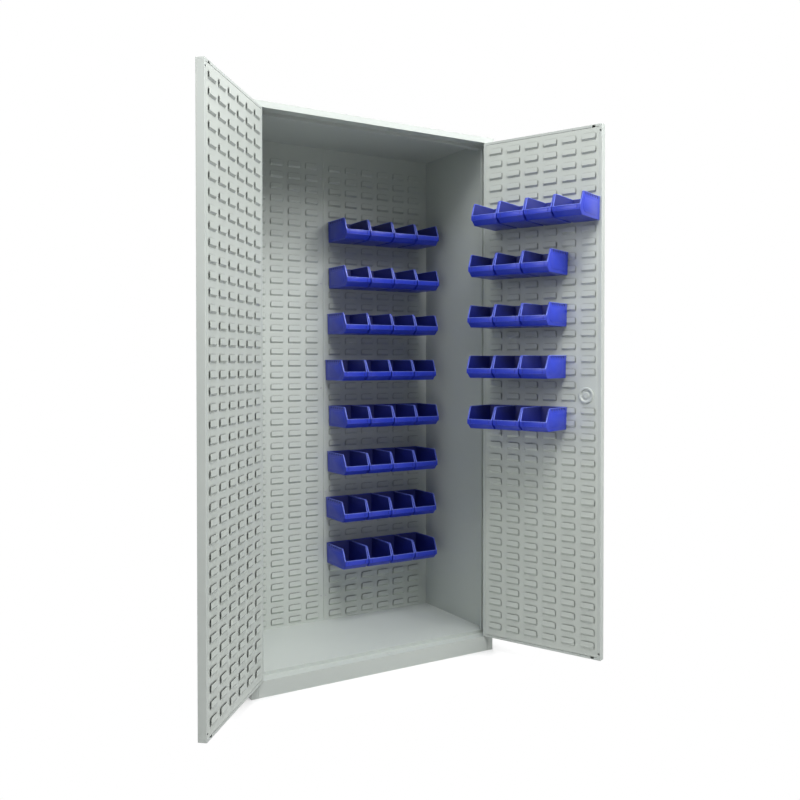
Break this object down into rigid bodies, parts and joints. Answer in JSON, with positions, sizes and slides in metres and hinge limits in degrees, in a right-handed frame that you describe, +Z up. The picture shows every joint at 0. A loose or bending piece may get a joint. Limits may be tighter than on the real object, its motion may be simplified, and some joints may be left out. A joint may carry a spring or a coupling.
{
  "type": "workshop cabinet",
  "caption": "Tall steel cabinet with a louvred back and louvred swing doors, open bins hooked on the louvres, and a handle lock with rods up and down.",
  "frame": {"origin": "on the floor, at the middle of the cabinet body's footprint", "axes": "+Z up, +X to the right of someone who faces the open doors, +Y towards the back"},
  "size_m": [1.4387, 0.993, 1.95],
  "materials": {
    "cabinet_paint": "fine satin powder coat",
    "bin_plastic": "moulded satin",
    "zinc_steel": "zinc plated",
    "nylon": "moulded",
    "bright_steel": "turned",
    "black_plastic": "fine texture"
  },
  "bodies": {
    "cabinet": {"left_side_panel": "cabinet_paint", "right_side_panel": "cabinet_paint", "top_panel": "cabinet_paint", "head_rail": "cabinet_paint", "base_frame": "cabinet_paint", "floor_panel": "cabinet_paint", "back_sheet": "cabinet_paint", "back_louvre_panel_left": "cabinet_paint", "back_louvre_panel_right": "cabinet_paint", "back_centre_post": "cabinet_paint", "back_panel_rivets": "zinc_steel", "sill_pivot_bushes": "nylon", "head_pivot_bushes": "nylon"},
    "left_door": {"left_door_pan": "cabinet_paint", "left_door_louvre_panel": "cabinet_paint", "left_door_pivot_pins": "zinc_steel"},
    "right_door": {"right_door_pan": "cabinet_paint", "right_door_louvre_panel": "cabinet_paint", "right_door_pivot_pins": "zinc_steel", "lock_case": "zinc_steel", "lock_rosette": "black_plastic", "lock_screws": "zinc_steel", "lock_inner_cover": "cabinet_paint", "rod_guides": "nylon"},
    "handle": {"lock_handle": "black_plastic", "lock_spindle": "bright_steel", "lock_cam": "zinc_steel"},
    "key_barrel": {"key_barrel": "bright_steel"},
    "upper_rod": {"upper_lock_rod": "zinc_steel"},
    "lower_rod": {"lower_lock_rod": "zinc_steel"},
    "back_bins_row_1": {"back_bins_row_1": "bin_plastic"},
    "back_bins_row_2": {"back_bins_row_2": "bin_plastic"},
    "back_bins_row_3": {"back_bins_row_3": "bin_plastic"},
    "back_bins_row_4": {"back_bins_row_4": "bin_plastic"},
    "back_bins_row_5": {"back_bins_row_5": "bin_plastic"},
    "back_bins_row_6": {"back_bins_row_6": "bin_plastic"},
    "back_bins_row_7": {"back_bins_row_7": "bin_plastic"},
    "back_bins_row_8": {"back_bins_row_8": "bin_plastic"},
    "door_bins_row_1": {"door_bins_row_1": "bin_plastic"},
    "door_bins_row_2": {"door_bins_row_2": "bin_plastic"},
    "door_bins_row_3": {"door_bins_row_3": "bin_plastic"},
    "door_bins_row_4": {"door_bins_row_4": "bin_plastic"},
    "door_bins_row_5": {"door_bins_row_5": "bin_plastic"}
  },
  "joints": [
    {"name": "left_door_swing", "type": "hinge", "parent": "cabinet", "child": "left_door", "pos_m": [-0.4685, -0.2445, 0], "axis": [0, 0, -1], "range_deg": [-130.9, 49.1]},
    {"name": "right_door_swing", "type": "hinge", "parent": "cabinet", "child": "right_door", "pos_m": [0.4685, -0.2445, 0], "axis": [0, 0, 1], "range_deg": [-113, 67]},
    {"name": "handle_turn", "type": "hinge", "parent": "right_door", "child": "handle", "pos_m": [0.60884, -0.63142, 0.984], "axis": [-0.9205, -0.3907, 0], "range_deg": [0, 90]},
    {"name": "key_turn", "type": "hinge", "parent": "handle", "child": "key_barrel", "pos_m": [0.60884, -0.63142, 0.984], "axis": [-0.9205, -0.3907, 0], "range_deg": [0, 90]},
    {"name": "upper_rod_slide", "type": "slide", "parent": "right_door", "child": "upper_rod", "axis": [0, 0, 1], "range_m": [0, 0.01848]},
    {"name": "lower_rod_slide", "type": "slide", "parent": "right_door", "child": "lower_rod", "axis": [0, 0, -1], "range_m": [0, 0.01848]},
    {"name": "back_row_1_lift", "type": "slide", "parent": "cabinet", "child": "back_bins_row_1", "axis": [0, 0, 1], "range_m": [0, 0.018]},
    {"name": "back_row_2_lift", "type": "slide", "parent": "cabinet", "child": "back_bins_row_2", "axis": [0, 0, 1], "range_m": [0, 0.018]},
    {"name": "back_row_3_lift", "type": "slide", "parent": "cabinet", "child": "back_bins_row_3", "axis": [0, 0, 1], "range_m": [0, 0.018]},
    {"name": "back_row_4_lift", "type": "slide", "parent": "cabinet", "child": "back_bins_row_4", "axis": [0, 0, 1], "range_m": [0, 0.018]},
    {"name": "back_row_5_lift", "type": "slide", "parent": "cabinet", "child": "back_bins_row_5", "axis": [0, 0, 1], "range_m": [0, 0.018]},
    {"name": "back_row_6_lift", "type": "slide", "parent": "cabinet", "child": "back_bins_row_6", "axis": [0, 0, 1], "range_m": [0, 0.018]},
    {"name": "back_row_7_lift", "type": "slide", "parent": "cabinet", "child": "back_bins_row_7", "axis": [0, 0, 1], "range_m": [0, 0.018]},
    {"name": "back_row_8_lift", "type": "slide", "parent": "cabinet", "child": "back_bins_row_8", "axis": [0, 0, 1], "range_m": [0, 0.018]},
    {"name": "door_row_1_lift", "type": "slide", "parent": "right_door", "child": "door_bins_row_1", "axis": [0, 0, 1], "range_m": [0, 0.018]},
    {"name": "door_row_2_lift", "type": "slide", "parent": "right_door", "child": "door_bins_row_2", "axis": [0, 0, 1], "range_m": [0, 0.018]},
    {"name": "door_row_3_lift", "type": "slide", "parent": "right_door", "child": "door_bins_row_3", "axis": [0, 0, 1], "range_m": [0, 0.018]},
    {"name": "door_row_4_lift", "type": "slide", "parent": "right_door", "child": "door_bins_row_4", "axis": [0, 0, 1], "range_m": [0, 0.018]},
    {"name": "door_row_5_lift", "type": "slide", "parent": "right_door", "child": "door_bins_row_5", "axis": [0, 0, 1], "range_m": [0, 0.018]}
  ],
  "couplings": [
    {"joint": "upper_rod_slide", "follows": "handle_turn", "m_per_rad": 0.011704},
    {"joint": "lower_rod_slide", "follows": "handle_turn", "m_per_rad": 0.011704}
  ]
}
